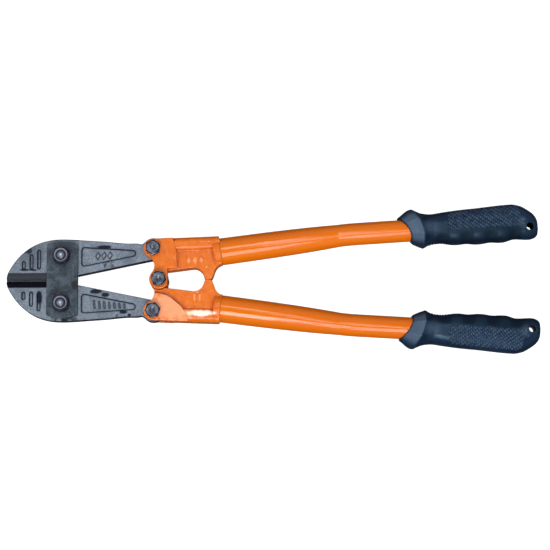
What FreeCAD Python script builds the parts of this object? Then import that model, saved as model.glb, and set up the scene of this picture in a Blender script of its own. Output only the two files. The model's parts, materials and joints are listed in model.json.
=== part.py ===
import FreeCAD, Part
import math
import os

# Bolt cutters lying flat, closed, in millimetres. +X runs from the jaw tips to the grips, +Z is up, and the
# origin is on the surface the tool lies on, under the middle of its outline. Every layer is stacked about one
# mid-plane. The upper half (+Y) is modelled, and the lower half is the same parts turned over about the
# centre line, as the real jaws, castings, tubes and grips are.

# Whole tool
OVERALL_LENGTH = 457.0
MID_HEIGHT = 17.5
TIP_X = -OVERALL_LENGTH / 2
BUTT_X = OVERALL_LENGTH / 2

# Pivots of the upper half on the plan
JAW_PIVOT = (-180.55, 20.5)
LINK_PIVOT = (-102.35, 26.9)
CENTRE_PIVOT = (-97.35, 0.0)

# Layers, as heights from the mid-plane
JAW_HALF = 5.25
PLATE_GAP = 0.15
PLATE_THICKNESS = 4.2
PLATE_INNER = JAW_HALF + PLATE_GAP
PLATE_OUTER = PLATE_INNER + PLATE_THICKNESS
SLOT_HALF = JAW_HALF + 0.2
EAR_OUTER = 10.4
WEB_HALF = 7.4
LAP_GAP = 0.1

# Jaws
EDGE_GAP = 0.05
EDGE_LAND = 0.5
BEVEL_WIDTH = 6.3
CUTTING_END_X = -191.8
TANG_RADIUS = 9.3
ARM_SLOPE = math.radians(11.6)
RELIEF_Y = 2.1
RELIEF_END_X = -176.7
RECESS_DEPTH = 1.0
RECESS_SLOPE = 0.85
MARK_HEIGHT = 0.6
MARK_SLOPE = 0.4
SLOT_WIDTH = 3.3
SLOT_START_Y = 9.6
TALLY_SLOTS = ((-213.4, 16.8), (-206.8, 22.7), (-200.3, 26.6))

# Fasteners, all one thread size
SHANK_RADIUS = 4.0
PIN_CLEARANCE = 0.05
JAW_HOLE_RADIUS = 5.4
HEAD_ACROSS_FLATS = 12.0
HEAD_HEIGHT = 5.4
HEAD_CROWN_RADIUS = 5.0
NUT_ACROSS_FLATS = 13.0
NUT_HEIGHT = 6.4
NUT_SINK_RADIUS = 5.4
REAR_NUT_HEIGHT = 5.4
CHAMFER_RISE = 0.6
WASHER_RADIUS = 7.7
WASHER_THICKNESS = 1.2
CENTRE_GAP = 0.15

# Handle castings
EAR_RADIUS = 8.2
LUG_RADIUS = 8.4
NECK_RADIUS = 9.0
LAP_RADIUS = LUG_RADIUS + 0.4
SLOT_RADIUS = TANG_RADIUS + 0.6
OPEN_ANGLE = math.radians(47.5)
RIM_RADIUS = 12.4
RIM_LENGTH = 6.5
SPIGOT_LENGTH = 26.0

# Tubes: a long taper, a slight bend, then a parallel run inside the grip
SEAM_X = -44.4
HEAD_TUBE_RADIUS = 11.7
TUBE_RADIUS = 9.6
TUBE_WALL = 2.0
BEND_POINT = (64.2, 39.14)
BEND_RADIUS = 220.0
NEAR_ANGLE = math.radians(7.58)
FAR_ANGLE = math.radians(3.5)
TUBE_END_X = 205.0
FIT_GAP = 0.05

# Grips
GUARD_TILT = math.radians(13.4)
GUARD_HALF_DEPTH = MID_HEIGHT
HANG_HOLE = (220.5, 44.0)
HANG_HOLE_RADIUS = 3.0


def point(place, height=0.0):
    """A point over a place on the plan, at a height from the mid-plane."""
    return FreeCAD.Vector(place[0], place[1], MID_HEIGHT + height)


def outline(start, *steps):
    """A closed wire: a step of one place is a straight edge, one of two places an arc through the first."""
    edges = []
    here = start
    closing = () if steps[-1][-1] == start else ((start,),)
    for step in steps + closing:
        end = step[-1]
        if len(step) == 2:
            curve = Part.Arc(point(here), point(step[0]), point(end))
        else:
            curve = Part.LineSegment(point(here), point(end))
        edges.append(curve.toShape())
        here = end
    return Part.Wire(edges)


def prism(wire, low, high):
    """The solid over a plan outline between two heights from the mid-plane."""
    face = Part.Face(wire)
    face.translate(FreeCAD.Vector(0, 0, low))
    return face.extrude(FreeCAD.Vector(0, 0, high - low))


def disc(place, radius, low, high):
    return Part.makeCylinder(radius, high - low, point(place, low))


def joined(first, *others):
    return first.multiFuse(list(others)).removeSplitter()


def turned_over(shape):
    """The lower twin of an upper part."""
    twin = shape.copy()
    twin.rotate(point((0, 0)), FreeCAD.Vector(1, 0, 0), 180)
    return twin


def opposite(place):
    return (place[0], -place[1])


def polar(centre, radius, angle):
    return (centre[0] + radius * math.cos(angle), centre[1] + radius * math.sin(angle))


def heading(angle):
    return FreeCAD.Vector(math.cos(angle), math.sin(angle), 0)


def level_edges(shape, *heights):
    """The edges that lie flat at any of the heights from the mid-plane."""
    chosen = []
    for edge in shape.Edges:
        box = edge.BoundBox
        for height in heights:
            level = MID_HEIGHT + height
            if abs(box.ZMin - level) < 0.001 and abs(box.ZMax - level) < 0.001:
                chosen.append(edge)
    return chosen


def slot_pocket(x, high_y):
    """Plan outline of one round-ended slot across the jaw."""
    low_y = SLOT_START_Y
    half = SLOT_WIDTH / 2
    return outline(
        (x - half, low_y + half),
        ((x - half, high_y - half),),
        ((x, high_y), (x + half, high_y - half)),
        ((x + half, low_y + half),),
        ((x, low_y), (x - half, low_y + half)),
    )


def jaw_blank():
    """The forged outline: nose and back in one sweep, round tang, straight inner edge with a relief."""
    shoulder_angle = math.radians(136)
    shoulder = polar(LINK_PIVOT, TANG_RADIUS, shoulder_angle)
    tang_end = polar(LINK_PIVOT, TANG_RADIUS, ARM_SLOPE - math.pi / 2)
    relief_drop = (tang_end[0] - RELIEF_END_X) * math.tan(ARM_SLOPE)
    back_places = (
        (TIP_X, 2.2),
        (-223.6, 12.4),
        (-213.4, 24.3),
        (-202.0, 31.4),
        (-190.0, 34.8),
        (-176.0, 35.4),
        (-160.0, 34.4),
        (-140.0, 33.0),
        (-121.0, 31.6),
        (-114.6, 31.4),
        shoulder,
    )
    back = Part.BSplineCurve()
    back.interpolate(
        Points=[point(place) for place in back_places],
        InitialTangent=heading(math.radians(74)),
        FinalTangent=heading(shoulder_angle - math.pi / 2),
    )
    tang = Part.Arc(point(shoulder), point(polar(LINK_PIVOT, TANG_RADIUS, 0)), point(tang_end))
    edges = [back.toShape(), tang.toShape()]
    inner_places = (
        tang_end,
        (RELIEF_END_X, tang_end[1] - relief_drop),
        (RELIEF_END_X - 1.5, RELIEF_Y),
        (CUTTING_END_X + 3.0, RELIEF_Y),
        (CUTTING_END_X, EDGE_GAP),
        (TIP_X, EDGE_GAP),
        (TIP_X, back_places[0][1]),
    )
    for here, there in zip(inner_places, inner_places[1:]):
        edges.append(Part.LineSegment(point(here), point(there)).toShape())
    blank = prism(Part.Wire(edges), -JAW_HALF, JAW_HALF)
    rounded = [edge for edge in level_edges(blank, -JAW_HALF, JAW_HALF) if edge.BoundBox.YLength > 10]
    return blank.makeFillet(0.7, rounded)


def bevel_cutter():
    """The wedge that leaves one face of the cutting edge, drawn across the jaw and run along it."""
    corners = (
        (-3.0, EDGE_LAND / 2),
        (EDGE_GAP, EDGE_LAND / 2),
        (BEVEL_WIDTH, JAW_HALF),
        (BEVEL_WIDTH, JAW_HALF + 2),
        (-3.0, JAW_HALF + 2),
    )
    across = [FreeCAD.Vector(TIP_X - 1, y, MID_HEIGHT + height) for y, height in corners]
    face = Part.Face(Part.makePolygon(across + across[:1]))
    return face.extrude(FreeCAD.Vector(CUTTING_END_X - TIP_X + 4, 0, 0))


def arm_pocket():
    """Plan outline of the long tapering recess in the arm."""
    return outline(
        (-164.1, 15.2),
        ((-164.1, 25.8),),
        ((-163.2, 27.9), (-161.0, 28.6)),
        ((-120.2, 26.0),),
        ((-117.3, 23.0), (-120.2, 20.0)),
        ((-160.9, 11.8),),
        ((-163.3, 12.6), (-164.1, 15.2)),
    )


def lozenge(x, y, half_wide, half_high, slant):
    return outline(
        (x - half_wide, y),
        ((x + slant, y + half_high),),
        ((x + half_wide, y),),
        ((x - slant, y - half_high),),
    )


def lozenge_marks():
    """Plan outlines of a row of raised lozenges on one recess floor."""
    return [lozenge(x, y, 2.1, 3.6, 0.4) for x, y in ((-149.9, 21.0), (-144.8, 21.2), (-139.7, 21.4))]


def bar_marks():
    """Plan outlines of a row of raised slanting bars, ever shorter, on the other recess floor."""
    marks = []
    for number in range(7):
        x = -153.0 + number * 4.3
        y = 20.9 + number * 0.25
        half = 3.5 - number * 0.25
        low, high = y - half, y + half
        marks.append(outline((x - 0.8, low), ((x - 0.2, high),), ((x + 1.2, high),), ((x + 0.6, low),)))
    return marks


def recess(wire, side):
    """What a recess takes out of one face of the jaw (side 1 is the upper face), with sloping walls."""
    floor = side * (JAW_HALF - RECESS_DEPTH)
    face = side * (JAW_HALF + 1)
    room = prism(wire, min(floor, face), max(floor, face))
    return room.makeChamfer(RECESS_SLOPE, level_edges(room, floor))


def raised_mark(wire, side):
    """A mark standing on a recess floor, with sloping sides."""
    root = side * (JAW_HALF - RECESS_DEPTH - 0.3)
    crown = side * (JAW_HALF - RECESS_DEPTH + MARK_HEIGHT)
    mark = prism(wire, min(root, crown), max(root, crown))
    return mark.makeChamfer(MARK_SLOPE, level_edges(mark, crown))


def jaw():
    cutters = [disc(JAW_PIVOT, JAW_HOLE_RADIUS, -JAW_HALF - 1, JAW_HALF + 1)]
    cutters.append(disc(LINK_PIVOT, SHANK_RADIUS + PIN_CLEARANCE, -JAW_HALF - 1, JAW_HALF + 1))
    wedge = bevel_cutter()
    cutters.append(wedge)
    cutters.append(wedge.mirror(point((0, 0)), FreeCAD.Vector(0, 0, 1)))
    marks = []
    for side, outlines in ((1, lozenge_marks()), (-1, bar_marks())):
        cutters.append(recess(arm_pocket(), side))
        cutters.extend(recess(slot_pocket(*slot), side) for slot in TALLY_SLOTS)
        marks.extend(raised_mark(wire, side) for wire in outlines)
    return jaw_blank().cut(cutters).multiFuse(marks)


def clevis_plate(heel_x):
    """One of the two plates that hold the jaw bolts apart: arched ends, two holes, heel at heel_x."""
    wire = outline(
        (-193.2, -30.0),
        ((-193.2, 30.0),),
        ((-179.9, 32.9), (heel_x, 30.0)),
        ((heel_x, -30.0),),
        ((-179.9, -32.9), (-193.2, -30.0)),
    )
    blank = prism(wire, PLATE_INNER, PLATE_OUTER)
    upright = [edge for edge in blank.Edges if edge.BoundBox.ZLength > PLATE_THICKNESS / 2]
    blank = blank.makeFillet(1.6, upright)
    blank = blank.makeFillet(0.6, level_edges(blank, PLATE_OUTER))
    for place in (JAW_PIVOT, opposite(JAW_PIVOT)):
        blank = blank.cut(disc(place, SHANK_RADIUS + PIN_CLEARANCE, PLATE_INNER - 1, PLATE_OUTER + 1))
    return blank


def hexagon(place, low, high, turn, across_flats, low_face, high_face):
    """A hexagonal prism with its corners turned down to a round face of a given radius at each end."""
    corner = across_flats / 2 / math.cos(math.pi / 6)
    corners = [polar(place, corner, math.radians(turn + 60 * number)) for number in range(6)]
    blank = prism(Part.makePolygon([point(each) for each in corners + corners[:1]]), low, high)
    wide = corner + 0.5
    low_rise = (wide - low_face) * CHAMFER_RISE
    high_rise = (wide - high_face) * CHAMFER_RISE
    lower = Part.makeCone(low_face, wide, low_rise, point(place, low))
    middle = disc(place, wide, low + low_rise, high - high_rise)
    upper = Part.makeCone(wide, high_face, high_rise, point(place, high - high_rise))
    return blank.common(joined(lower, middle, upper))


def washer(place, low):
    ring = disc(place, WASHER_RADIUS, low, low + WASHER_THICKNESS)
    ring = ring.makeFillet(0.35, level_edges(ring, low, low + WASHER_THICKNESS))
    return ring.cut(disc(place, SHANK_RADIUS + PIN_CLEARANCE, low - 1, low + WASHER_THICKNESS + 1))


def nut(place, low, high, turn):
    body = hexagon(place, low, high, turn, NUT_ACROSS_FLATS, NUT_ACROSS_FLATS / 2, NUT_ACROSS_FLATS / 2)
    return body.cut(disc(place, SHANK_RADIUS + PIN_CLEARANCE, low - 1, high + 1))


def sunk_nut(place, low, turn):
    """A nut with a wide countersink in its upper face."""
    high = low + NUT_HEIGHT
    hole = SHANK_RADIUS + PIN_CLEARANCE
    depth = NUT_SINK_RADIUS - hole
    sink = Part.makeCone(hole, NUT_SINK_RADIUS, depth, point(place, high - depth))
    return nut(place, low, high, turn).cut(sink)


def bolt(place, seat, end, turn):
    """A hex bolt: its head sits on the height seat, its shank runs to the height end, with a domed tip."""
    outward = 1 if seat > end else -1
    crown = seat + outward * HEAD_HEIGHT
    seat_radius = HEAD_ACROSS_FLATS / 2
    low, high = min(seat, crown), max(seat, crown)
    faces = (seat_radius, HEAD_CROWN_RADIUS)[::outward]
    head = hexagon(place, low, high, turn, HEAD_ACROSS_FLATS, *faces)
    dimple = Part.makeSphere(6.0, point(place, crown + outward * 5.45))
    shoulder = end + outward * 1.2
    shank = disc(place, SHANK_RADIUS, min(seat, shoulder), max(seat, shoulder))
    tip_radius = 6.0
    tip = disc(place, SHANK_RADIUS, min(end, shoulder), max(end, shoulder))
    tip = tip.common(Part.makeSphere(tip_radius, point(place, end + outward * tip_radius)))
    return joined(head.cut(dimple), shank, tip)


def toward(start, end, distance):
    """The place at a distance from start on the way to end."""
    return polar(start, distance, math.atan2(end[1] - start[1], end[0] - start[0]))


def neck_centre():
    """The centre of the hollow whose round edge touches both the ear and the centre lug."""
    ear_reach = EAR_RADIUS + NECK_RADIUS
    lug_reach = LUG_RADIUS + NECK_RADIUS
    span = math.dist(LINK_PIVOT, CENTRE_PIVOT)
    along = (ear_reach**2 - lug_reach**2 + span**2) / (2 * span)
    middle = toward(LINK_PIVOT, CENTRE_PIVOT, along)
    down = math.atan2(CENTRE_PIVOT[1] - LINK_PIVOT[1], CENTRE_PIVOT[0] - LINK_PIVOT[0])
    return polar(middle, math.sqrt(ear_reach**2 - along**2), down - math.pi / 2)


def front_outline():
    """The flat front of the upper casting: ear, neck and centre lug, as far as the step to the panel."""
    hollow = neck_centre()
    lug_corner = polar(CENTRE_PIVOT, LUG_RADIUS, math.radians(-31.5))
    return outline(
        (LINK_PIVOT[0], LINK_PIVOT[1] + EAR_RADIUS),
        ((LINK_PIVOT[0] - EAR_RADIUS, LINK_PIVOT[1]), toward(LINK_PIVOT, hollow, EAR_RADIUS)),
        (polar(hollow, NECK_RADIUS, 0), toward(CENTRE_PIVOT, hollow, LUG_RADIUS)),
        ((CENTRE_PIVOT[0], -LUG_RADIUS), lug_corner),
        ((lug_corner[0], 9.4),),
        ((-81.6, 9.8),),
        ((-82.4, 24.6),),
        ((-85.4, 35.9),),
    )


def rear_outline():
    """The flat pad around the link bolt on the back of the upper casting."""
    hollow = neck_centre()
    return outline(
        (LINK_PIVOT[0], LINK_PIVOT[1] + EAR_RADIUS),
        ((LINK_PIVOT[0] - EAR_RADIUS, LINK_PIVOT[1]), toward(LINK_PIVOT, hollow, EAR_RADIUS)),
        (polar(hollow, NECK_RADIUS, math.radians(20)), polar(hollow, NECK_RADIUS, 0)),
        ((-93.0, 12.9), (-83.5, 18.9)),
        ((-76.6, 25.6), (-72.2, 36.4)),
    )


def web_outline():
    """The middle layer of the casting, with the window edge and the stop nose that meets the other handle."""
    seam = (-43.2, 13.4)
    hollow = neck_centre()
    return outline(
        (-99.0, 35.3),
        ((-46.0, 37.3),),
        (seam,),
        ((-46.7, 11.7), (-49.2, 8.4)),
        ((-51.6, 2.0),),
        ((-52.9, EDGE_GAP),),
        ((-57.5, EDGE_GAP),),
        ((-58.9, 2.2),),
        ((-62.2, 8.2), (-68.0, 10.1)),
        ((-89.4, 7.4),),
        (polar(hollow, NECK_RADIUS, math.radians(-22)),),
        (polar(hollow, NECK_RADIUS, 0), toward(LINK_PIVOT, hollow, EAR_RADIUS)),
    )


def ridge():
    """The rounded rail along the outer side of the casting, leaning out to meet the collar."""
    start = (-84.0, 24.3)
    end_x, start_outer_y, end_outer_y = -43.0, 35.9, 37.4
    half_high = EAR_OUTER - 0.2
    length = end_x - start[0]
    block = Part.makeBox(length, start_outer_y - start[1], 2 * half_high, point(start, -half_high))
    block = block.makeFillet(4.6, [edge for edge in block.Edges if edge.BoundBox.XLength > 1])
    lean = math.degrees(math.atan2(end_outer_y - start_outer_y, length))
    block.rotate(point((start[0], start_outer_y)), FreeCAD.Vector(0, 0, 1), lean)
    return block


def near_axis(x):
    """The tube's axis on the plan before the bend."""
    return (x, BEND_POINT[1] + (x - BEND_POINT[0]) * math.tan(NEAR_ANGLE))


def far_axis(x):
    """The tube's axis on the plan after the bend, and the grip's."""
    return (x, BEND_POINT[1] + (x - BEND_POINT[0]) * math.tan(FAR_ANGLE))


def slot_cutter():
    """The room for the jaw's tang between the ears, over the whole swing of the jaw."""
    swing = polar(LINK_PIVOT, SLOT_RADIUS, math.pi / 2 - OPEN_ANGLE)
    rest = polar(LINK_PIVOT, SLOT_RADIUS, -math.pi / 2 + ARM_SLOPE)
    reach = 22.0
    room = outline(
        swing,
        (polar(swing, reach, math.pi - OPEN_ANGLE),),
        ((LINK_PIVOT[0] - reach, LINK_PIVOT[1] + reach),),
        (polar(rest, reach, math.pi + ARM_SLOPE),),
        (rest,),
    )
    bore = disc(LINK_PIVOT, SLOT_RADIUS, -SLOT_HALF, SLOT_HALF)
    return joined(prism(room, -SLOT_HALF, SLOT_HALF), bore)


def casting_marks():
    """Small raised foundry marks: three lozenges on the front panel and two bars on the back."""
    marks = []
    for x in (-72.0, -66.5, -61.0):
        wire = outline((x - 1.9, 16.3), ((x, 19.6),), ((x + 1.9, 16.3),), ((x, 13.0),))
        marks.append(prism(wire, WEB_HALF - 0.3, WEB_HALF + 0.5))
    for x in (-67.0, -62.4):
        wire = outline((x - 0.8, 12.6), ((x - 0.8, 18.2),), ((x + 0.8, 18.2),), ((x + 0.8, 12.6),))
        marks.append(prism(wire, -WEB_HALF - 0.5, -WEB_HALF + 0.3))
    return marks


def rim_and_spigot():
    """The round collar that butts the tube, the plug inside the tube, and the space the tube takes."""
    axis = heading(NEAR_ANGLE)
    seam = point(near_axis(SEAM_X))
    collar = Part.makeCylinder(RIM_RADIUS, RIM_LENGTH, seam - axis * RIM_LENGTH, axis)
    collar = collar.makeFillet(1.2, [edge for edge in collar.Edges if edge.Length > 6 * RIM_RADIUS])
    plug_radius = HEAD_TUBE_RADIUS - TUBE_WALL - 0.35
    plug = Part.makeCylinder(plug_radius, SPIGOT_LENGTH, seam - axis, axis)
    beyond = Part.makeCylinder(3 * RIM_RADIUS, SPIGOT_LENGTH, seam, axis)
    return collar, plug, beyond


def casting():
    """The cast head of the upper handle: a fork for the jaw's tang and half of the centre knuckle."""
    front = prism(front_outline(), LAP_GAP, EAR_OUTER)
    front = front.makeFillet(0.9, level_edges(front, EAR_OUTER))
    rear = prism(rear_outline(), -EAR_OUTER, -LAP_GAP)
    rear = rear.makeFillet(0.9, level_edges(rear, -EAR_OUTER))
    web = prism(web_outline(), -WEB_HALF, WEB_HALF)
    upright = [edge for edge in web.Edges if edge.BoundBox.ZLength > WEB_HALF]
    web = web.makeFillet(1.0, [edge for edge in upright if edge.BoundBox.YMax < 3])
    window_edges = [edge for edge in level_edges(web, -WEB_HALF, WEB_HALF) if edge.BoundBox.XMin > -90]
    web = web.makeFillet(0.8, window_edges)
    collar, plug, beyond = rim_and_spigot()
    body = joined(web, front, rear, ridge(), collar)
    tall = EAR_OUTER + 3
    cutters = [
        slot_cutter(),
        disc(CENTRE_PIVOT, LAP_RADIUS, -tall, LAP_GAP),
        disc(CENTRE_PIVOT, SHANK_RADIUS + PIN_CLEARANCE, -tall, tall),
        disc(LINK_PIVOT, SHANK_RADIUS + PIN_CLEARANCE, -tall, tall),
        beyond,
    ]
    return body.cut(cutters).multiFuse([plug] + casting_marks())


def tube_taper(shift):
    """The tapered run from the seam to the bend, moved in from its outer surface by shift."""
    start = point(near_axis(SEAM_X))
    axis = heading(NEAR_ANGLE)
    reach = BEND_RADIUS * math.tan((NEAR_ANGLE - FAR_ANGLE) / 2)
    bend_start = point(BEND_POINT) - axis * reach
    length = (bend_start - start).Length
    up = FreeCAD.Vector(0, 0, 1)
    stations = ((0.0, HEAD_TUBE_RADIUS), (0.37, 11.45), (0.7, 10.85), (1.0, TUBE_RADIUS))
    profile = Part.BSplineCurve()
    points = [start + axis * (length * share) + up * (radius - shift) for share, radius in stations]
    profile.interpolate(points)
    corners = [points[-1], bend_start, start, points[0]]
    edges = [profile.toShape()]
    for here, there in zip(corners, corners[1:]):
        edges.append(Part.LineSegment(here, there).toShape())
    return Part.Face(Part.Wire(edges)).revolve(start, axis, 360), bend_start


def tube():
    """Tapered run, bend and parallel run as one hollow tube."""
    outer, bend_start = tube_taper(0.0)
    inner, bend_start = tube_taper(TUBE_WALL)
    axis = heading(NEAR_ANGLE)
    right = FreeCAD.Vector(math.sin(NEAR_ANGLE), -math.cos(NEAR_ANGLE), 0)
    bend_centre = bend_start + right * BEND_RADIUS
    turn = -math.degrees(NEAR_ANGLE - FAR_ANGLE)
    far = heading(FAR_ANGLE)
    reach = BEND_RADIUS * math.tan((NEAR_ANGLE - FAR_ANGLE) / 2)
    bend_end = point(BEND_POINT) + far * reach
    length = (point(far_axis(TUBE_END_X)) - bend_end).Length
    pieces = []
    for start, radius in ((outer, TUBE_RADIUS), (inner, TUBE_RADIUS - TUBE_WALL)):
        section = Part.Face(Part.Wire(Part.Circle(bend_start, axis, radius).toShape()))
        bend = section.revolve(bend_centre, FreeCAD.Vector(0, 0, 1), turn)
        run = Part.makeCylinder(radius, length, bend_end, far)
        pieces.append(joined(start, bend, run))
    return pieces[0].cut(pieces[1])


def grip_section(x, outer, inner, depth, tilt=0.0):
    """An oval across the grip's axis at x: its reach outwards and inwards on the plan, and its half depth."""
    across = FAR_ANGLE + math.pi / 2 + tilt
    middle = point(far_axis(x)) + heading(across) * ((outer - inner) / 2)
    reach = (outer + inner) / 2
    if reach >= depth:
        oval = Part.Ellipse(middle + heading(across) * reach, middle + FreeCAD.Vector(0, 0, depth), middle)
    else:
        oval = Part.Ellipse(middle + FreeCAD.Vector(0, 0, depth), middle - heading(across) * reach, middle)
    return Part.Wire(oval.toShape())


def grip_body():
    """The swelling handhold with shallow finger hollows, before its butt is rounded."""
    stations = (
        (126.0, 14.4, 14.4, 14.2),
        (136.0, 13.0, 13.4, 13.2),
        (144.0, 13.6, 13.4, 13.2),
        (156.0, 14.4, 15.2, 13.6),
        (166.0, 15.0, 14.8, 13.6),
        (177.0, 15.5, 16.0, 14.0),
        (187.0, 16.0, 15.2, 13.8),
        (197.0, 16.6, 15.7, 14.0),
        (208.0, 16.7, 14.3, 13.4),
        (218.0, 15.6, 14.4, 12.2),
        (BUTT_X + 2, 14.0, 14.4, 10.6),
    )
    sections = [grip_section(*station) for station in stations]
    body = Part.makeLoft(sections, True, False)
    plan = outline(
        (118.0, 20.0),
        ((118.0, 75.0),),
        ((202.0, 75.0),),
        ((202.0, 64.6),),
        ((222.6, 57.4), (BUTT_X, 43.0)),
        ((227.0, 36.4), (221.5, 34.0)),
        ((206.0, 33.0),),
        ((206.0, 20.0),),
    )
    shaped = body.common(prism(plan, -GUARD_HALF_DEPTH, GUARD_HALF_DEPTH))
    return shaped.common(butt_profile())


def butt_profile():
    """The side view of the grip as a block across it, which rounds the butt front and back."""
    wide = GUARD_HALF_DEPTH + 1
    places = ((120.0, wide), (214.0, wide), (214.0, 13.6))
    nose = ((225.4, 10.4), (BUTT_X, 3.4))
    upper = [FreeCAD.Vector(x, 10, MID_HEIGHT + height) for x, height in places + nose]
    lower = [FreeCAD.Vector(each.x, each.y, 2 * MID_HEIGHT - each.z) for each in upper]
    straight = [lower[2], lower[1], lower[0], upper[0], upper[1], upper[2]]
    edges = [Part.LineSegment(here, there).toShape() for here, there in zip(straight, straight[1:])]
    edges.append(Part.Arc(upper[2], upper[3], upper[4]).toShape())
    edges.append(Part.LineSegment(upper[4], lower[4]).toShape())
    edges.append(Part.Arc(lower[4], lower[3], lower[2]).toShape())
    return Part.Face(Part.Wire(edges)).extrude(FreeCAD.Vector(0, 70, 0))


def guard():
    """The flared hand guard at the front of the grip, leaning forwards at its outer side."""
    stations = (
        (111.0, 11.2, 11.8, 11.4),
        (119.5, 16.4, 15.0, 15.8),
        (122.0, 18.2, 16.2, GUARD_HALF_DEPTH),
        (125.5, 18.0, 16.0, GUARD_HALF_DEPTH - 0.4),
        (131.0, 14.0, 14.2, 13.8),
    )
    sections = [grip_section(*station, GUARD_TILT) for station in stations]
    return Part.makeLoft(sections, True, True)


def grip():
    far = heading(FAR_ANGLE)
    socket_start = point(far_axis(95.0))
    socket_length = (point(far_axis(TUBE_END_X)) - socket_start).Length
    socket = Part.makeCylinder(TUBE_RADIUS + FIT_GAP, socket_length, socket_start, far)
    hole = disc(HANG_HOLE, HANG_HOLE_RADIUS, -MID_HEIGHT - 1, MID_HEIGHT + 1)
    return joined(grip_body(), guard()).cut([socket, hole])


def pairs():
    """Every part that the tool holds twice, once on each side."""
    shapes = {"jaw": jaw(), "head": casting(), "tube": tube(), "grip": grip()}
    nodes = {}
    for name, shape in shapes.items():
        nodes["upper_" + name] = shape
        nodes["lower_" + name] = turned_over(shape)
    return nodes


def fasteners():
    """Three kinds of joint: nuts in front on the jaw bolts, heads in front on the link and centre bolts."""
    nodes = {}
    for side, jaw_place, link_place, turns in (
        ("upper", JAW_PIVOT, LINK_PIVOT, (6, 24)),
        ("lower", opposite(JAW_PIVOT), opposite(LINK_PIVOT), (27, 10)),
    ):
        nodes[side + "_jaw_bolt"] = bolt(jaw_place, -PLATE_OUTER, MID_HEIGHT - 0.05, turns[0])
        nodes[side + "_jaw_washer"] = washer(jaw_place, PLATE_OUTER)
        nodes[side + "_jaw_nut"] = sunk_nut(jaw_place, PLATE_OUTER + WASHER_THICKNESS, turns[0])
        nodes[side + "_link_bolt"] = bolt(link_place, EAR_OUTER, -MID_HEIGHT, turns[1])
        washer_back = -EAR_OUTER - WASHER_THICKNESS
        nodes[side + "_link_washer"] = washer(link_place, washer_back)
        nodes[side + "_link_nut"] = nut(link_place, washer_back - REAR_NUT_HEIGHT, washer_back, turns[1] + 9)
    back = -EAR_OUTER - CENTRE_GAP - WASHER_THICKNESS
    nodes["centre_bolt"] = bolt(CENTRE_PIVOT, EAR_OUTER + CENTRE_GAP, -MID_HEIGHT, 52)
    nodes["centre_washer"] = washer(CENTRE_PIVOT, back)
    nodes["centre_nut"] = nut(CENTRE_PIVOT, back - REAR_NUT_HEIGHT, back, 20)
    return nodes


def plates():
    """The rear plate is a little shorter at its heel, so that it stays hidden behind the front one."""
    return {"front_plate": clevis_plate(-166.6), "rear_plate": turned_over(clevis_plate(-168.8))}


def main():
    os.makedirs("parts", exist_ok=True)
    nodes = {**pairs(), **plates(), **fasteners()}
    for name, shape in nodes.items():
        shape.exportStep("parts/" + name + ".step")
        print(name, "valid" if shape.isValid() else "INVALID", len(shape.Solids), round(shape.Volume))


main()
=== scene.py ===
"""Bolt cutters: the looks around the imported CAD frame. Metres, in the row frame."""

import json
import math

import bpy
import numpy as np
from mathutils import Euler, Matrix, Vector


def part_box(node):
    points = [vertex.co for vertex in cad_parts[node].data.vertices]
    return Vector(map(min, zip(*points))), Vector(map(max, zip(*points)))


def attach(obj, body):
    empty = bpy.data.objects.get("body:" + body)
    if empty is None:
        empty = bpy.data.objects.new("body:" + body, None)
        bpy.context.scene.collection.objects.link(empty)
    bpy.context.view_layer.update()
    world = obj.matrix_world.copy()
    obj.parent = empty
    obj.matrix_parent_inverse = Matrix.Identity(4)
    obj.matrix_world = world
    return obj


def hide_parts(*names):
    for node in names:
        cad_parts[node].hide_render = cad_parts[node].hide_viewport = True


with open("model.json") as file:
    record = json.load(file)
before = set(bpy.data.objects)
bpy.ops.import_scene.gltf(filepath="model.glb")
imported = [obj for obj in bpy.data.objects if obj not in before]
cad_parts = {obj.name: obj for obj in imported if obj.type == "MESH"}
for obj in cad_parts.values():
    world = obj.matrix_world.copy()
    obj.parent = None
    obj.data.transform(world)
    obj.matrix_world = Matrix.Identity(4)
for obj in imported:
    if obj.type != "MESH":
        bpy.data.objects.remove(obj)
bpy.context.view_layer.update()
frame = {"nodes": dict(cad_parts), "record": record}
nodes = frame["nodes"]
MM = 0.001

# Places taken from the frame
MID_Z = (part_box("upper_tube")[0][2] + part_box("upper_tube")[1][2]) / 2
BUTT_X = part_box("upper_grip")[1][0]
PLATE_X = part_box("front_plate")[0][0]
JAW_BOLT_X = (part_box("upper_jaw_washer")[0][0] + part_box("upper_jaw_washer")[1][0]) / 2
JAW_BOLT_Y = (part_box("upper_jaw_washer")[0][1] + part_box("upper_jaw_washer")[1][1]) / 2
HANG_MOUNT = next(m for m in frame["record"]["mounts"] if m["name"] == "upper_hang_hole")
HANG_HOLE = Vector(HANG_MOUNT["pos_m"])
HANG_RADIUS = HANG_MOUNT["dims"]["r_mm"]

# The grip's own line, which is the tube's inside it
GRIP_ANGLE = math.radians(3.5)
GRIP_AXIS_Y = 39.14 * MM
GRIP_AXIS_X = 64.2 * MM
SOCKET_RADIUS = 9.63 * MM

# Heights above mid-plane on the cast heads: the panel floors, and just under the pad
PANEL_LEVEL = 7.4 * MM
UNDER_PAD_LEVEL = 9.2 * MM

# The ground bevel of a jaw reaches this far from the cutting line, and this far under the plate
BEVEL_REACH = 6.2 * MM
BEVEL_UNDER_PLATE = 1.3 * MM


# ---------------------------------------------------------------- node-tree helpers


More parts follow.
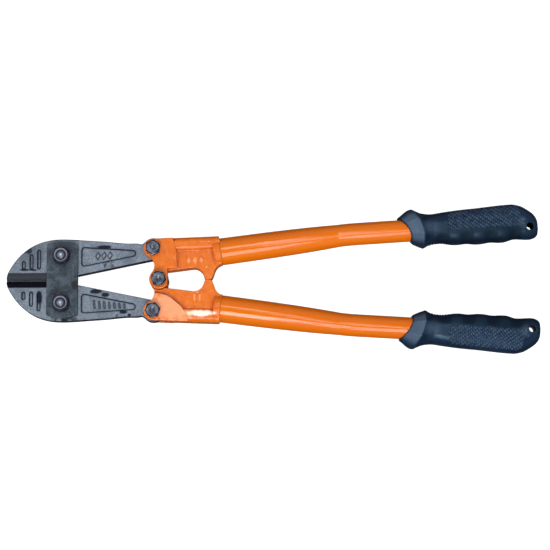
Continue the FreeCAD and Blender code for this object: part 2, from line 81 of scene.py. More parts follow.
class Shader:
    """A material's node tree, with short calls for the nodes used here."""

    def __init__(self, name):
        self.material = bpy.data.materials.new(name)
        self.material.use_nodes = True
        self.tree = self.material.node_tree
        self.bsdf = self.tree.nodes["Principled BSDF"]
        self.place = self.tree.nodes.new("ShaderNodeTexCoord").outputs["Object"]

    def node(self, kind, **values):
        made = self.tree.nodes.new("ShaderNode" + kind)
        for key, value in values.items():
            setattr(made, key, value)
        return made

    def join(self, source, socket):
        """Feed a socket from another socket, or set it to a number or colour."""
        if isinstance(source, bpy.types.NodeSocket):
            self.tree.links.new(source, socket)
        else:
            socket.default_value = source

    def noise(self, scale, detail=3.0, rough=0.5, place=None, distortion=0.0):
        made = self.node("TexNoise")
        self.join(place or self.place, made.inputs["Vector"])
        made.inputs["Scale"].default_value = scale
        made.inputs["Detail"].default_value = detail
        made.inputs["Roughness"].default_value = rough
        made.inputs["Distortion"].default_value = distortion
        return made.outputs["Fac"]

    def stretched(self, scale):
        """The object's coordinates scaled by a different factor along each axis."""
        made = self.node("Mapping")
        self.join(self.place, made.inputs["Vector"])
        made.inputs["Scale"].default_value = scale
        return made.outputs["Vector"]

    def ramp(self, source, low, high, start=0.0, end=1.0):
        """source from low to high becomes start to end, eased and clamped."""
        made = self.node("MapRange", interpolation_type="SMOOTHSTEP")
        self.join(source, made.inputs["Value"])
        for name, value in (("From Min", low), ("From Max", high), ("To Min", start), ("To Max", end)):
            made.inputs[name].default_value = value
        return made.outputs["Result"]

    def math(self, operation, first, second=0.0):
        made = self.node("Math", operation=operation)
        self.join(first, made.inputs[0])
        self.join(second, made.inputs[1])
        return made.outputs[0]

    def mix(self, share, first, second):
        made = self.node("Mix", data_type="RGBA")
        self.join(share, made.inputs["Factor"])
        self.join(first, made.inputs["A"])
        self.join(second, made.inputs["B"])
        return made.outputs["Result"]

    def axis(self, name):
        made = self.node("SeparateXYZ")
        self.join(self.place, made.inputs[0])
        return made.outputs[name]

    def upright(self):
        """How level a surface is: 1 facing straight up or down, 0 on a wall."""
        split = self.node("SeparateXYZ")
        self.join(self.node("NewGeometry").outputs["True Normal"], split.inputs[0])
        return self.math("ABSOLUTE", split.outputs["Z"])

    def edges(self, radius):
        """1 on edges and corners within radius, 0 on flat and gently curved faces."""
        soft = self.node("Bevel", samples=6)
        soft.inputs["Radius"].default_value = radius
        plain = self.node("NewGeometry").outputs["Normal"]
        turn = self.node("VectorMath", operation="DOT_PRODUCT")
        self.join(soft.outputs["Normal"], turn.inputs[0])
        self.join(plain, turn.inputs[1])
        return self.ramp(turn.outputs["Value"], 0.995, 0.90)

    def crevices(self, distance):
        """1 in the open, falling to 0 deep in corners and recesses no further across than distance."""
        made = self.node("AmbientOcclusion", samples=6, only_local=True)
        made.inputs["Distance"].default_value = distance
        return made.outputs["AO"]

    def spot(self, x, y, reach_x, reach_y):
        """1 in a ragged patch round the place x, y (millimetres), on every level, and 0 outside it."""
        shifted = self.node("Mapping")
        self.join(self.place, shifted.inputs["Vector"])
        shifted.inputs["Location"].default_value = (-x / reach_x, -y / reach_y, 0)
        shifted.inputs["Scale"].default_value = (1 / (reach_x * MM), 1 / (reach_y * MM), 0)
        away = self.node("VectorMath", operation="LENGTH")
        self.join(shifted.outputs["Vector"], away.inputs[0])
        ragged = self.math("ADD", away.outputs["Value"], self.noise(260, 3, 0.6))
        return self.ramp(ragged, 1.6, 1.05)

    def painted(self, name):
        """A value painted on the mesh's points."""
        return self.node("Attribute", attribute_name=name).outputs["Fac"]

    def bump(self, height, strength, distance, under=None):
        made = self.node("Bump")
        self.join(height, made.inputs["Height"])
        made.inputs["Strength"].default_value = strength
        made.inputs["Distance"].default_value = distance
        if under is not None:
            self.join(under, made.inputs["Normal"])
        return made.outputs["Normal"]

    def finish(self, **inputs):
        for name, value in inputs.items():
            self.join(value, self.bsdf.inputs[name.replace("_", " ")])
        return self.material


# ---------------------------------------------------------------- materials

ORANGE = (0.520, 0.110, 0.001, 1)
ORANGE_PAINTED_SHADE = (0.34, 0.044, 0.001, 1)
ORANGE_WEAR_AND_HIGHLIGHT = (0.88, 0.50, 0.29, 1)

# Oil stains on the jaws: place, then reach each way, in millimetres
OIL_SPOTS = (
    (-144, 28.6, 8, 1.9),
    (-151.5, -9.8, 6, 2.6),
    (-143.6, -12.7, 4, 2.4),
    (-128.0, -27.6, 4, 2.2),
    (-122.8, -30.2, 2, 1.4),
    (-209.5, 26, 4, 4),
    (-199.5, -15, 3.0, 7),
    (-213, 9.2, 5, 1.2),
    (-205.5, 9.0, 4, 1.0),
    (-178, -34.2, 4, 1.6),
    (-168, 36.0, 6, 2.2),
)


def tube_paint():
    """Gloss powder coat on drawn tube: faint orange peel, a little handling haze."""
    s = Shader("tube_paint")
    broad = s.noise(14, 3)
    haze = s.noise(60, 4, place=s.stretched((0.35, 1, 1)))
    colour = s.mix(s.ramp(broad, 0.35, 0.7), ORANGE, (0.50, 0.100, 0.001, 1))
    peel = s.bump(s.noise(650, 2), 0.08, 0.00025)
    return s.finish(
        Base_Color=colour,
        Roughness=s.ramp(haze, 0.3, 0.75, 0.10, 0.17),
        Normal=s.bump(s.noise(90, 2), 0.12, 0.0006, peel),
        Specular_IOR_Level=0.22,
    )


def casting_paint():
    """The same paint over a sand casting: pebbled skin, painted shade in corners, worn paint with a painted
    highlight on edges, a painted sheen on the lower head's pad and a painted highlight along its ridge.
    """
    s = Shader("casting_paint")
    grain = s.noise(420, 5, 0.6)
    pebble = s.noise(170, 3)
    open_share = s.ramp(s.crevices(0.0036), 0.66, 0.99)
    edge = s.edges(0.0011)
    colour = s.mix(s.ramp(pebble, 0.3, 0.75), ORANGE, (0.48, 0.086, 0.001, 1))
    # Painted sheen: the flat pad of the lower head is mixed towards pale peach.
    on_pad = s.math("GREATER_THAN", s.axis("Z"), MID_Z + UNDER_PAD_LEVEL)
    pad = s.math("MULTIPLY", s.spot(-83, -23, 27, 15), on_pad)
    colour = s.mix(s.math("MULTIPLY", pad, 0.55), colour, (0.78, 0.36, 0.20, 1))
    # Painted highlight: a pale band along the lower head's ridge, in front of the mid-plane.
    in_front = s.math("GREATER_THAN", s.axis("Z"), MID_Z)
    ridge = s.math("MULTIPLY", s.spot(-61, -29.2, 13, 3.2), in_front)
    colour = s.mix(s.math("MULTIPLY", ridge, 0.8), colour, (0.95, 0.78, 0.64, 1))
    level = s.math("ABSOLUTE", s.math("SUBTRACT", s.axis("Z"), MID_Z))
    near_marks = s.math("MAXIMUM", s.spot(-66.5, 16.3, 9, 4.5), s.spot(-64.7, -15.4, 7, 4))
    marks = s.math("MULTIPLY", s.ramp(level, PANEL_LEVEL + 0.15 * MM, PANEL_LEVEL + 0.35 * MM), near_marks)
    colour = s.mix(s.math("MULTIPLY", marks, 0.32), colour, (0.84, 0.42, 0.22, 1))
    # Painted shade: corners and recesses are darkened to deep orange.
    colour = s.mix(open_share, ORANGE_PAINTED_SHADE, colour)
    # Edges are paler: worn paint and a painted highlight.
    colour = s.mix(s.math("MULTIPLY", s.math("MULTIPLY", edge, open_share), 0.7), colour, ORANGE_WEAR_AND_HIGHLIGHT)
    colour = s.mix(s.ramp(s.noise(520, 2, 0.5), 0.66, 0.76, 0, 0.75), colour, (0.86, 0.50, 0.28, 1))
    skin = s.bump(pebble, 0.65, 0.0010)
    return s.finish(
        Base_Color=colour,
        Roughness=s.ramp(grain, 0.3, 0.7, 0.20, 0.36),
        Normal=s.bump(grain, 0.55, 0.0004, skin),
        Specular_IOR_Level=0.23,
    )


def jaw_steel(name, ground_dark, ground_light):
    """Phosphated forging: grey-blue mottle, dark scale and painted shade on every wall, edge and corner,
    oil stains, painted shade near the tip of the upper jaw, and a ground bevel.
    """
    s = Shader(name)
    crystal = s.noise(1000, 4, 0.65)
    mottle = s.noise(75, 4, 0.6)
    smudge = s.noise(62, 3, 0.5, distortion=0.6)
    open_share = s.ramp(s.crevices(0.0020), 0.50, 0.97)
    colour = s.mix(s.ramp(crystal, 0.30, 0.70), (0.068, 0.088, 0.118, 1), (0.190, 0.224, 0.265, 1))
    colour = s.mix(s.ramp(mottle, 0.42, 0.72, 0, 0.65), colour, (0.050, 0.068, 0.098, 1))
    colour = s.mix(s.ramp(smudge, 0.63, 0.68, 0, 0.9), colour, (0.014, 0.020, 0.034, 1))
    oily = 0.0
    for x, y, reach_x, reach_y in OIL_SPOTS:
        oily = s.math("MAXIMUM", oily, s.spot(x, y, reach_x, reach_y))
    colour = s.mix(oily, colour, (0.007, 0.010, 0.019, 1))
    # Painted shade: the upper jaw is darkened near its tip.
    blade_shade = s.math("MULTIPLY", s.spot(-208, 23, 16, 12), 0.5)
    colour = s.mix(blade_shade, colour, (0.022, 0.030, 0.046, 1))
    # Dark scale and painted shade: corners, recesses, edges and walls are darkened.
    colour = s.mix(open_share, (0.006, 0.009, 0.022, 1), colour)
    colour = s.mix(s.math("MULTIPLY", s.edges(0.0015), 0.95), colour, (0.006, 0.009, 0.022, 1))
    colour = s.mix(s.ramp(s.upright(), 0.90, 0.80), colour, (0.004, 0.006, 0.014, 1))
    grind = s.noise(500, 3, 0.6, place=s.stretched((0.06, 1, 1)))
    ground = s.mix(s.ramp(grind, 0.3, 0.7), ground_dark, ground_light)
    near_edge = s.math("LESS_THAN", s.math("ABSOLUTE", s.axis("Y")), BEVEL_REACH)
    ahead = s.math("LESS_THAN", s.axis("X"), PLATE_X + BEVEL_UNDER_PLATE)
    bevel = s.math("MULTIPLY", near_edge, ahead)
    dull = s.math("MAXIMUM", bevel, oily)
    rough = s.ramp(crystal, 0.3, 0.7, 0.48, 0.66)
    pits = s.bump(mottle, 0.25, 0.0005)
    return s.finish(
        Base_Color=s.mix(bevel, colour, ground),
        Metallic=s.math("SUBTRACT", 0.25, s.math("MULTIPLY", bevel, 0.25)),
        Roughness=s.math("SUBTRACT", rough, s.math("MULTIPLY", bevel, 0.14)),
        Normal=s.bump(crystal, 0.30, 0.00025, pits),
        Specular_IOR_Level=s.math("SUBTRACT", 0.35, s.math("MULTIPLY", dull, 0.25)),
    )


def plate_steel():
    """Blued clevis plate: darker slate, cloudy, with fine scratches and dark patches, and painted shade
    between the nuts of the upper plate and on the walls.
    """
    s = Shader("plate_steel")
    cloud = s.noise(70, 5, 0.7, distortion=0.5)
    fine = s.noise(700, 4, 0.6)
    patch = s.noise(85, 3, 0.55)
    scratch = s.noise(420, 2, 0.5, place=s.stretched((1, 0.05, 1)))
    edge = s.edges(0.0006)
    colour = s.mix(s.ramp(cloud, 0.35, 0.7), (0.004, 0.010, 0.017, 1), (0.045, 0.066, 0.086, 1))
    colour = s.mix(s.ramp(fine, 0.5, 0.75, 0, 0.45), colour, (0.13, 0.16, 0.19, 1))
    colour = s.mix(s.ramp(patch, 0.60, 0.72, 0, 0.85), colour, (0.010, 0.016, 0.024, 1))
    colour = s.mix(s.spot(-169.5, -4.5, 3.2, 5), colour, (0.002, 0.004, 0.007, 1))
    # Painted shade over the upper plate between the nuts.
    colour = s.mix(s.math("MULTIPLY", s.spot(-182, 20, 14, 12), 0.45), colour, (0.010, 0.016, 0.024, 1))
    colour = s.mix(s.math("MULTIPLY", edge, 0.35), colour, (0.16, 0.19, 0.22, 1))
    # Painted shade: walls are darker than level faces.
    colour = s.mix(s.ramp(s.upright(), 0.6, 0.3), colour, (0.008, 0.011, 0.018, 1))
    worn = s.bump(fine, 0.2, 0.0002)
    return s.finish(
        Base_Color=colour,
        Metallic=0.3,
        Roughness=s.ramp(cloud, 0.3, 0.7, 0.40, 0.58),
        Normal=s.bump(scratch, 0.12, 0.0002, worn),
        Specular_IOR_Level=0.4,
    )


def bolt_steel():
    """Black-oxide fasteners: blue-black walls, worn grey end faces painted lighter than the walls as
    painted light and shade, bright turned corners, and painted shade in corners.
    """
    s = Shader("bolt_steel")
    fine = s.noise(800, 3, 0.6)
    patch = s.noise(180, 3, 0.5)
    edge = s.edges(0.0006)
    flat = s.ramp(s.upright(), 0.88, 0.99)
    open_share = s.ramp(s.crevices(0.003), 0.45, 0.95)
    walls = s.mix(s.ramp(patch, 0.35, 0.7), (0.006, 0.007, 0.016, 1), (0.020, 0.022, 0.040, 1))
    faces = s.mix(s.ramp(patch, 0.35, 0.7), (0.038, 0.048, 0.070, 1), (0.12, 0.135, 0.165, 1))
    # Painted light and shade: level end faces are lighter than the walls.
    colour = s.mix(flat, walls, faces)
    colour = s.mix(s.math("MULTIPLY", edge, 0.65), colour, (0.36, 0.36, 0.42, 1))
    # Painted shade: corners are darkened to near black.
    colour = s.mix(open_share, (0.004, 0.005, 0.010, 1), colour)
    return s.finish(
        Base_Color=colour,
        Metallic=0.7,
        Roughness=s.ramp(fine, 0.3, 0.7, 0.24, 0.40),
        Normal=s.bump(fine, 0.2, 0.0002),
    )


def jaw_nut_steel():
    """Black-oxide jaw nuts with a turned chamfer that is worn and carries a painted highlight, a black
    face, and a domed bolt tip with a painted highlight.
    """
    s = Shader("jaw_nut_steel")
    fine = s.noise(800, 3, 0.6)
    across_x = s.math("SUBTRACT", s.axis("X"), JAW_BOLT_X)
    across_y = s.math("SUBTRACT", s.math("ABSOLUTE", s.axis("Y")), JAW_BOLT_Y)
    radius = s.math("SQRT", s.math("ADD", s.math("POWER", across_x, 2.0), s.math("POWER", across_y, 2.0)))
    dark = s.mix(s.ramp(fine, 0.35, 0.7), (0.006, 0.007, 0.014, 1), (0.020, 0.022, 0.036, 1))
    # Painted highlight and wear: a bright ring on the chamfer.
    chamfer = s.math("MULTIPLY", s.ramp(radius, 0.0043, 0.0048), s.ramp(radius, 0.0058, 0.0053))
    colour = s.mix(chamfer, dark, (0.15, 0.155, 0.195, 1))
    # Painted highlight: the domed bolt tip is lighter, brightest at its centre.
    colour = s.mix(s.ramp(radius, 0.0030, 0.0024), colour, (0.085, 0.100, 0.130, 1))
    colour = s.mix(s.ramp(radius, 0.0015, 0.0004), colour, (0.36, 0.41, 0.48, 1))
    return s.finish(
        Base_Color=colour,
        Roughness=s.ramp(fine, 0.3, 0.7, 0.26, 0.42),
        Normal=s.bump(fine, 0.2, 0.0002),
        Specular_IOR_Level=s.ramp(radius, 0.0060, 0.0055, 0.08, 0.32),
    )


def washer_steel():
    """Dark washers with a dry oxide face."""
    s = Shader("washer_steel")
    fine = s.noise(700, 3, 0.6)
    edge = s.edges(0.0004)
    colour = s.mix(s.ramp(fine, 0.35, 0.7), (0.004, 0.005, 0.009, 1), (0.016, 0.018, 0.026, 1))
    return s.finish(
        Base_Color=s.mix(s.math("MULTIPLY", edge, 0.2), colour, (0.10, 0.11, 0.13, 1)),
        Roughness=s.ramp(fine, 0.3, 0.7, 0.40, 0.55),
        Normal=s.bump(fine, 0.2, 0.0002),
        Specular_IOR_Level=0.12,
    )


def grip_rubber():
    """Dark navy moulded rubber: satin, with a painted sheen on the guard, neck and dish, painted highlights
    on the tips of the cross-cut and painted shade in the finger hollows.
    """
    s = Shader("grip_rubber")
    broad = s.noise(28, 3)
    fine = s.noise(1100, 3, 0.6)
    dust = s.noise(260, 4, 0.65)
    edge = s.edges(0.0008)
    colour = s.mix(s.ramp(broad, 0.35, 0.7), (0.0028, 0.0085, 0.021, 1), (0.006, 0.015, 0.033, 1))
    hollow = s.painted("hollow")
    # Painted shade: the finger hollows are darkened.
    colour = s.mix(s.math("MULTIPLY", hollow, 0.9), colour, (0.0008, 0.0032, 0.009, 1))
    # Painted sheen: lighter on the guard, the neck and the dish.
    colour = s.mix(s.painted("painted_sheen"), colour, (0.055, 0.080, 0.120, 1))
    # Painted highlight: the tips of the cross-cut are lighter, in patches.
    tip_glint = s.math("MULTIPLY", s.painted("tip"), s.ramp(dust, 0.35, 0.65, 0.2, 1.0))
    colour = s.mix(tip_glint, colour, (0.039, 0.063, 0.106, 1))
    colour = s.mix(s.math("MULTIPLY", edge, 0.25), colour, (0.06, 0.08, 0.115, 1))
    return s.finish(
        Base_Color=colour,
        Roughness=s.math("ADD", s.ramp(dust, 0.35, 0.7, 0.24, 0.38), s.math("MULTIPLY", hollow, 0.3)),
        Normal=s.bump(fine, 0.15, 0.00015),
        Specular_IOR_Level=0.18,
        Specular_Tint=(0.5, 0.78, 1.0, 1),
    )


# ---------------------------------------------------------------- mesh helpers


def mesh_object(name, verts, faces, material):
    mesh = bpy.data.meshes.new(name)
    mesh.from_pydata([tuple(v) for v in verts], [], faces)
    mesh.validate()
    made = bpy.data.objects.new(name, mesh)
    bpy.context.scene.collection.objects.link(made)
    mesh.materials.append(material)
    for polygon in mesh.polygons:
        polygon.use_smooth = True
    return made


def apply_modifiers(piece):
    """Turn the modified shape of a piece into its mesh."""
    graph = bpy.context.evaluated_depsgraph_get()
    shape = bpy.data.meshes.new_from_object(piece.evaluated_get(graph))
    piece.modifiers.clear()
    piece.data = shape


def through(stations, column, at):
    """A monotone cubic through one column of a table of stations, read at the places in at."""
    x = np.array([row[0] for row in stations])
    y = np.array([row[column] for row in stations])
    step = np.diff(x)
    slope = np.diff(y) / step
    tangent = np.zeros(len(x))
    tangent[0], tangent[-1] = slope[0], slope[-1]
    same_way = slope[:-1] * slope[1:] > 0
    total = slope[:-1] + slope[1:]
    tangent[1:-1] = np.where(same_way, 2 * slope[:-1] * slope[1:] / np.where(total == 0, 1, total), 0)
    index = np.clip(np.searchsorted(x, at) - 1, 0, len(x) - 2)
    t = (at - x[index]) / step[index]
    rise = (3 - 2 * t) * t * t
    return (
        y[index] * (1 - rise)
        + y[index + 1] * rise
        + step[index] * t * (1 - t) * (tangent[index] * (1 - t) - tangent[index + 1] * t)
    )


def smoothstep(low, high, value):
    t = np.clip((value - low) / (high - low), 0, 1)
    return t * t * (3 - 2 * t)


# ---------------------------------------------------------------- grips

# Stations along the grip: millimetres ahead of the butt; reach outwards, reach inwards, half depth;
# squareness of the oval; share of flat facets; lean of the ring; how far its front and back trail.
GRIP_STATIONS = (
    (0.0, -4.2, 8.0, 2.0, 2.2, 0, -0.065, 0),
    (0.9, 1.8, 11.6, 6.0, 2.2, 0, -0.06, 0),
    (3.5, 6.6, 13.6, 9.0, 2.3, 0, -0.04, 0),
    (8.5, 11.2, 14.6, 11.3, 2.4, 0, 0, 0),
    (15.5, 15.2, 14.2, 12.4, 2.6, 0, 0, 0),
    (22.5, 16.7, 14.3, 12.8, 2.7, 0, 0, 0),
    (31.0, 16.5, 15.4, 13.6, 2.8, 0, 0, 0),
    (42.0, 15.9, 15.6, 13.9, 2.8, 0, 0, 0),
    (54.0, 15.2, 15.6, 13.9, 2.8, 0, 0, 0),
    (65.0, 14.8, 15.3, 13.7, 2.8, 0, 0, 0),
    (76.0, 14.1, 14.6, 13.4, 2.7, 0, 0, 0),
    (84.0, 13.4, 13.6, 13.0, 2.6, 0, 0, 0),
    (91.5, 12.7, 13.0, 12.8, 2.5, 0.15, 0.05, 1.0),
    (98.0, 13.6, 13.8, 13.8, 2.4, 0.6, 0.16, 3.0),
    (103.2, 16.4, 15.2, 16.6, 2.2, 1.0, 0.25, 4.2),
    (104.6, 17.3, 15.6, 17.3, 2.1, 1.0, 0.26, 4.4),
    (106.2, 17.1, 15.2, 17.0, 2.1, 1.0, 0.28, 4.4),
    (113.4, 12.6, 12.4, 12.8, 2.0, 0.9, 0.40, 4.2),
    (115.2, 11.2, 11.4, 11.4, 2.0, 0.5, 0.46, 4.0),
    (115.7, 10.6, 10.6, 10.6, 2.0, 0.1, 0.48, 4.0),
)
FINGER_PITCH = 20.6
FINGER_VALLEYS = 62.6
KNURL_PITCH = 2.75
RING_POINTS = 224

# The socket for the tube: its rings, by how far each is behind the front lip, and the lip's own shape
SOCKET_INSETS = (0.0, 1.2, 90.0)
LIP_FLARE = 0.35
LIP_AHEAD = 115.9
LIP_LEAN = 0.48
LIP_TRAIL = 4.0

# The guard's flat facets run between these places; the socket's rings count as lying off the guard
GUARD_END = 101.0
GUARD_START = 115.2
OFF_THE_GUARD = 200.0

# The hang hole in the grip's own coordinates
HOLE_ACROSS = (HANG_HOLE.y - GRIP_AXIS_Y - (HANG_HOLE.x - GRIP_AXIS_X) * math.tan(GRIP_ANGLE)) / MM
HOLE_AHEAD = (BUTT_X - HANG_HOLE.x) / MM - HOLE_ACROSS * math.sin(GRIP_ANGLE)


def ring_radius(angle, squareness, facets):
    """Distance to the edge of a unit oval that is squared off, and faceted like an octagon by a share."""
    power = squareness[:, None]
    oval = (np.abs(np.cos(angle)) ** power + np.abs(np.sin(angle)) ** power) ** (-1 / power)
    corner = np.mod(angle + math.pi / 8, math.pi / 4) - math.pi / 8
    octagon = 1 / np.cos(corner)
    octagon = np.minimum(octagon, 1.068)
    return oval * (1 - facets[:, None]) + octagon * facets[:, None]


def knurl(ahead, across):
    """Height of the cross-cut panel: small pyramids in diagonal rows, 0 to 1."""
    steep, shallow = math.radians(-52), math.radians(40)
    rows = []
    for turn, pitch in ((steep, KNURL_PITCH), (shallow, KNURL_PITCH * 0.75)):
        phase = (ahead * math.cos(turn) + across * math.sin(turn)) / pitch
        rows.append(1 - 2 * np.abs(np.mod(phase, 1) - 0.5))
    valley = np.minimum(rows[0], rows[1])
    return smoothstep(0.05, 0.62, valley)


def grip_surface():
    """Rings of points from the front lip to the butt: arrays of ahead-of-butt, across and height."""
    body = np.linspace(96, 0.9, 236)
    ends = np.concatenate([np.linspace(115.7, 113.4, 6)[:-1], np.linspace(113.4, 96, 28)[:-1]])
    cap = 0.9 * (1 - np.linspace(0, 1, 7)[1:]) ** 1.6
    ahead = np.concatenate([ends, body, cap])
    columns = [through(GRIP_STATIONS, number, ahead) for number in range(1, 8)]
    outer, inner, depth, squareness, facets, lean, trail = columns
    angle = np.linspace(0, 2 * math.pi, RING_POINTS, endpoint=False)[None, :]
    radius = ring_radius(angle, squareness, facets)
    reach = (outer + inner)[:, None] / 2
    across = (outer - inner)[:, None] / 2 + reach * radius * np.cos(angle)
    height = depth[:, None] * radius * np.sin(angle)
    flat = np.abs(np.sin(angle))
    place = ahead[:, None] + lean[:, None] * across - trail[:, None] * flat**1.5
    return angle, place, across, height, ahead[:, None]


def grip_relief(angle, place, across, ahead):
    """How far each point stands out or in, and masks for the cross-cut tips that get a painted highlight,
    the hollows that get painted shade, and the places that get a painted sheen.
    """
    toe = np.abs(np.sin(angle))
    face = smoothstep(0.45, 0.75, toe)
    sway = 0.7 * np.sin((place - 20) * 2 * math.pi / FINGER_PITCH)
    inside = smoothstep(-3.9, -2.9, across + sway * 0.5) * smoothstep(0.0, 1.6, 15.6 - across)
    along = smoothstep(15.0, 16.6, place - 0.25 * (across - 6)) * smoothstep(0.0, 1.2, 78.5 - place)
    panel = face * inside * along
    tip = panel * knurl(place, across)
    relief = 0.72 * tip - 0.36 * panel
    wave = 0.5 + 0.5 * np.cos((place - FINGER_VALLEYS) * 2 * math.pi / FINGER_PITCH)
    finger_side = smoothstep(-3.6, -12.0, across) * smoothstep(97, 90, place) * smoothstep(4, 14, place)
    relief = relief - finger_side * (0.5 + 1.3 * toe) * wave**1.3
    ribs = smoothstep(78, 80, place) * smoothstep(97, 94, place) * smoothstep(-10.5, -12.0, across)
    relief = relief + ribs * 0.45 * (0.5 + 0.5 * np.cos(place * 2 * math.pi / 2.4))
    away = np.hypot((place - HOLE_AHEAD - 7.0) / 6.0, (across - HOLE_ACROSS - 3.5) / 7.5)
    dish = face * smoothstep(1.0, 0.25, away)
    relief = relief - 1.6 * dish
    guard = smoothstep(104.2, 105.6, ahead) * smoothstep(115.6, 114.6, ahead)
    guard = guard * smoothstep(0.45, 0.85, toe)
    neck = smoothstep(103, 96, place) * smoothstep(83, 92, place)
    neck = neck * smoothstep(8.0, 0.5, np.abs(across)) * face
    # The finger hollows: painted shade in the rubber's colour, and rougher.
    hollow = smoothstep(-3.2, -6.5, across) * smoothstep(97, 90, place) * smoothstep(2, 10, place)
    hollow = hollow * (0.35 + 0.65 * smoothstep(0.1, 0.7, wave))
    # Painted sheen on the guard facets, the neck and the dish.
    painted_sheen = np.clip(0.85 * guard + 0.42 * neck + 0.30 * dish, 0, 1)
    return relief, {"tip": tip, "hollow": hollow, "painted_sheen": painted_sheen}


def to_world(ahead, across, height, side):
    """Grip coordinates in millimetres to the row frame, for the upper (1) or lower (-1) grip."""
    x_axis = BUTT_X - ahead * MM
    y_axis = GRIP_AXIS_Y + (x_axis - GRIP_AXIS_X) * math.tan(GRIP_ANGLE)
    x = x_axis - across * MM * math.sin(GRIP_ANGLE)
    y = y_axis + across * MM * math.cos(GRIP_ANGLE)
    return np.stack([x, side * y, MID_Z + side * height * MM], axis=-1)


def guard_bands(ahead):
    """Which bands between rings lie on the guard, whose facets are flat: one truth value for each band."""
    places = np.concatenate([np.full(len(SOCKET_INSETS), OFF_THE_GUARD), ahead.ravel()])
    middle = (places[:-1] + places[1:]) / 2
    return (GUARD_END < middle) & (middle < GUARD_START)


def grip(side, name, node, body, material):
    angle, place, across, height, ahead = grip_surface()
    relief, masks = grip_relief(angle, place, across, ahead)
    across = across + relief * np.cos(angle)
    height = height + relief * np.sin(angle)
    rings = [to_world(place[i], across[i], height[i], side) for i in range(len(ahead))]
    turn = angle[0]
    for inset in SOCKET_INSETS:
        radius = SOCKET_RADIUS / MM + (LIP_FLARE if inset == 0.0 else 0.0)
        socket_across = radius * np.cos(turn)
        start = LIP_AHEAD + LIP_LEAN * socket_across - LIP_TRAIL * np.abs(np.sin(turn)) ** 1.5
        deep = inset > LIP_AHEAD / 2
        socket_place = np.full_like(start, LIP_AHEAD - inset) if deep else start - inset
        rings.insert(0, to_world(socket_place, socket_across, radius * np.sin(turn), side))
    verts = np.concatenate(rings)
    count = RING_POINTS
    faces = []
    for i in range(len(rings) - 1):
        for j in range(count):
            k = (j + 1) % count
            faces.append((i * count + j, i * count + k, (i + 1) * count + k, (i + 1) * count + j))
    last = (len(rings) - 1) * count
    faces.append(tuple(range(count)))
    faces.append(tuple(reversed(range(last, last + count))))
    if side > 0:
        faces = [tuple(reversed(face)) for face in faces]
    made = mesh_object(name, verts, faces, material)
    for mask, values in masks.items():
        painted = np.concatenate([np.zeros(len(SOCKET_INSETS) * count), values.ravel()])
        made.data.attributes.new(mask, "FLOAT", "POINT").data.foreach_set("value", painted)
    for polygon, flat in zip(made.data.polygons, np.repeat(guard_bands(ahead), count)):
        polygon.use_smooth = not flat
    drill_hang_hole(made, side)
    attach(made, body)
    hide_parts(node)
    return made


def drill_hang_hole(piece, side):
    """Cut the hang hole, straight with flared rims."""
    count = 48
    heights = np.array([-20, -12.0, -11.4, -10.8, 10.8, 11.4, 12.0, 20.0]) * MM
    radii = (HANG_RADIUS + np.array([0.9, 0.9, 0.3, 0.05, 0.05, 0.3, 0.9, 0.9])) * MM
    centre = Vector((HANG_HOLE.x, side * HANG_HOLE.y, MID_Z))
    verts = []
    for height, radius in zip(heights, radii):
        for j in range(count):
            turn = 2 * math.pi * j / count
            verts.append(centre + Vector((radius * math.cos(turn), radius * math.sin(turn), height)))
    faces = []
    for i in range(len(heights) - 1):
        for j in range(count):
            k = (j + 1) % count
            faces.append((i * count + j, i * count + k, (i + 1) * count + k, (i + 1) * count + j))
    faces.append(tuple(reversed(range(count))))
    last = (len(heights) - 1) * count
    faces.append(tuple(range(last, last + count)))
    drill = mesh_object(piece.name + "_drill", verts, faces, piece.data.materials[0])
    cut = piece.modifiers.new("hang_hole", "BOOLEAN")
    cut.object = drill
    cut.operation = "DIFFERENCE"
    cut.solver = "EXACT"
    apply_modifiers(piece)
    bpy.data.objects.remove(drill)


# ---------------------------------------------------------------- castings


def soft_casting(node, name, body, material):
    """The CAD casting remade as one skin with the soft inner corners and edges of a sand casting."""
    made = bpy.data.objects.new(name, nodes[node].data.copy())
    bpy.context.scene.collection.objects.link(made)
    made.data.materials.clear()
    made.data.materials.append(material)
    weld = made.modifiers.new("weld", "WELD")
    weld.merge_threshold = 0.00001
    skin = made.modifiers.new("skin", "REMESH")
    skin.mode = "VOXEL"
    skin.voxel_size = 0.00040
    skin.use_smooth_shade = True
    ease = made.modifiers.new("ease", "SMOOTH")
    ease.factor = 0.5
    ease.iterations = 2
    apply_modifiers(made)
    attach(made, body)
    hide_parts(node)
    return made


# ---------------------------------------------------------------- stage


def floor():
    """A white table lit from within, so that shadows on it stay faint. It throws no light on the tool."""
    half = 3.0
    s = Shader("floor_white")
    s.finish(
        Base_Color=(0.25, 0.25, 0.25, 1),
        Roughness=0.9,
        Emission_Color=(1, 1, 1, 1),
        Emission_Strength=0.93,
    )
    corners = [(-half, -half), (half, -half), (half, half), (-half, half)]
    made = mesh_object("floor", [(x, y, -0.3 * MM) for x, y in corners], [(0, 1, 2, 3)], s.material)
    made.visible_diffuse = False
    made.visible_glossy = False


def strip_light(name, start, end, width, brightness):
    """A flat lamp along the line from start to end, facing the tool."""
    start, end = Vector(start), Vector(end)
    place = (start + end) / 2
    back = place.normalized()
    along = (end - start).normalized()
    side = back.cross(along).normalized()
    along = side.cross(back)
    lamp = bpy.data.lights.new(name, "AREA")
    lamp.shape = "RECTANGLE"
    lamp.size, lamp.size_y = (end - start).length, width
    lamp.energy = brightness * math.pi * lamp.size * lamp.size_y
    made = bpy.data.objects.new(name, lamp)
    made.matrix_world = Matrix((along, side, back)).transposed().to_4x4()
    made.location = place
    bpy.context.scene.collection.objects.link(made)


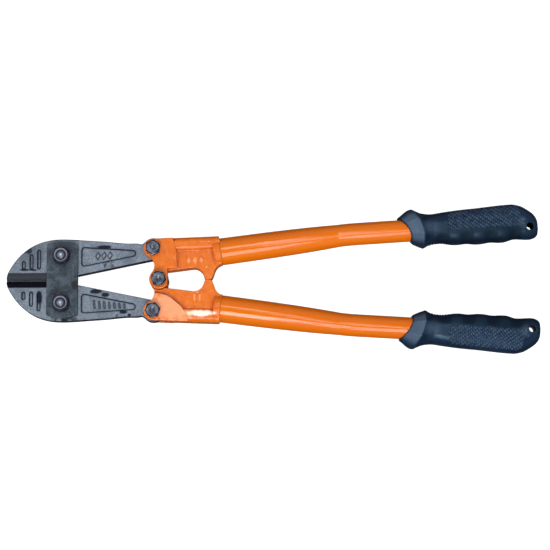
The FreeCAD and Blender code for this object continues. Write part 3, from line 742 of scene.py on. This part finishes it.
def lights():
    """Ceiling strips, which show on each tube as two streaks that meet, and a window at the jaw end."""
    height = 1.9
    strip_light("strip_far", (-0.40, 0.74, height), (0.10, 0.70, height), 0.30, 12)
    strip_light("strip_far_end", (0.05, 0.60, height), (0.20, -0.20, height), 0.20, 8)
    strip_light("strip_near", (0.20, -2.1, height), (0.26, -0.80, height), 0.34, 12)
    strip_light("strip_near_low", (-0.46, -2.1, height), (-0.06, -0.85, height), 0.36, 24)
    strip_light("strip_middle", (0.12, -0.26, height), (0.60, -0.26, height), 0.16, 12)
    strip_light("window", (-2.4, -0.7, 1.3), (-2.4, 0.7, 1.3), 0.9, 4)


def studio():
    """A round studio: white walls, a black ceiling behind the lamps and a dark lower half."""
    world = bpy.data.worlds.new("studio")
    world.use_nodes = True
    tree = world.node_tree
    back = tree.nodes["Background"]
    back.inputs["Color"].default_value = (0.94, 0.97, 1.0, 1)
    rise = tree.nodes.new("ShaderNodeSeparateXYZ")
    tree.links.new(tree.nodes.new("ShaderNodeTexCoord").outputs["Generated"], rise.inputs[0])
    share = tree.nodes.new("ShaderNodeMath")
    share.operation = "MULTIPLY_ADD"
    tree.links.new(rise.outputs["Z"], share.inputs[0])
    share.inputs[1].default_value = 0.5
    share.inputs[2].default_value = 0.5
    ramp = tree.nodes.new("ShaderNodeValToRGB")
    tree.links.new(share.outputs[0], ramp.inputs[0])
    steps = ramp.color_ramp.elements
    steps[0].position, steps[0].color = 0.0, (0.09, 0.09, 0.09, 1)
    steps[1].position, steps[1].color = 1.0, (0.05, 0.05, 0.05, 1)
    levels = ((0.49, 0.09), (0.515, 0.62), (0.61, 0.66), (0.71, 0.88), (0.89, 0.88), (0.965, 0.05))
    for position, level in levels:
        steps.new(position).color = (level, level, level, 1)
    tree.links.new(ramp.outputs["Color"], back.inputs["Strength"])
    bpy.context.scene.world = world


def camera():
    """A long lens almost straight above, leaning a little towards the near handle."""
    view_width, distance, sensor = 0.47255, 1.5, 0.036
    target = Vector((0.0018, 0.0044, MID_Z))
    turn = Euler((math.radians(8.0), 0, math.radians(-0.28)))
    lens = bpy.data.cameras.new("camera")
    lens.sensor_width = sensor * 1000
    lens.lens = sensor * 1000 * distance / view_width
    lens.clip_end = 20
    made = bpy.data.objects.new("camera", lens)
    made.location = target + turn.to_matrix() @ Vector((0, 0, distance))
    made.rotation_euler = turn
    bpy.context.scene.collection.objects.link(made)
    bpy.context.scene.camera = made


# ---------------------------------------------------------------- assembly


def repaint(node, material):
    for held in nodes[node].material_slots:
        held.material = material


def main():
    rubber, paint, cast = grip_rubber(), tube_paint(), casting_paint()
    plate, bolt, washer, jaw_nut = plate_steel(), bolt_steel(), washer_steel(), jaw_nut_steel()
    repaint("upper_jaw", jaw_steel("upper_jaw_steel", (0.012, 0.015, 0.021, 1), (0.030, 0.034, 0.040, 1)))
    # The lower jaw's ground bevel is given darker colours than the upper's: painted shade, for a bevel
    # tilted the other way.
    repaint("lower_jaw", jaw_steel("lower_jaw_steel", (0.0015, 0.002, 0.005, 1), (0.006, 0.006, 0.011, 1)))
    for node in nodes:
        if node.endswith(("_jaw_nut", "_jaw_bolt")):
            repaint(node, jaw_nut)
        elif node.endswith("_plate"):
            repaint(node, plate)
        elif node.endswith(("_bolt", "_nut")):
            repaint(node, bolt)
        elif node.endswith("_washer"):
            repaint(node, washer)
        elif node.endswith("_tube"):
            repaint(node, paint)
    for side, half in ((1, "upper"), (-1, "lower")):
        grip(side, half + "_moulded_grip", half + "_grip", half + "_handle", rubber)
        soft_casting(half + "_head", half + "_soft_head", half + "_handle", cast)
    floor()
    lights()
    studio()
    camera()
    bpy.context.scene.view_settings.view_transform = "Standard"


main()
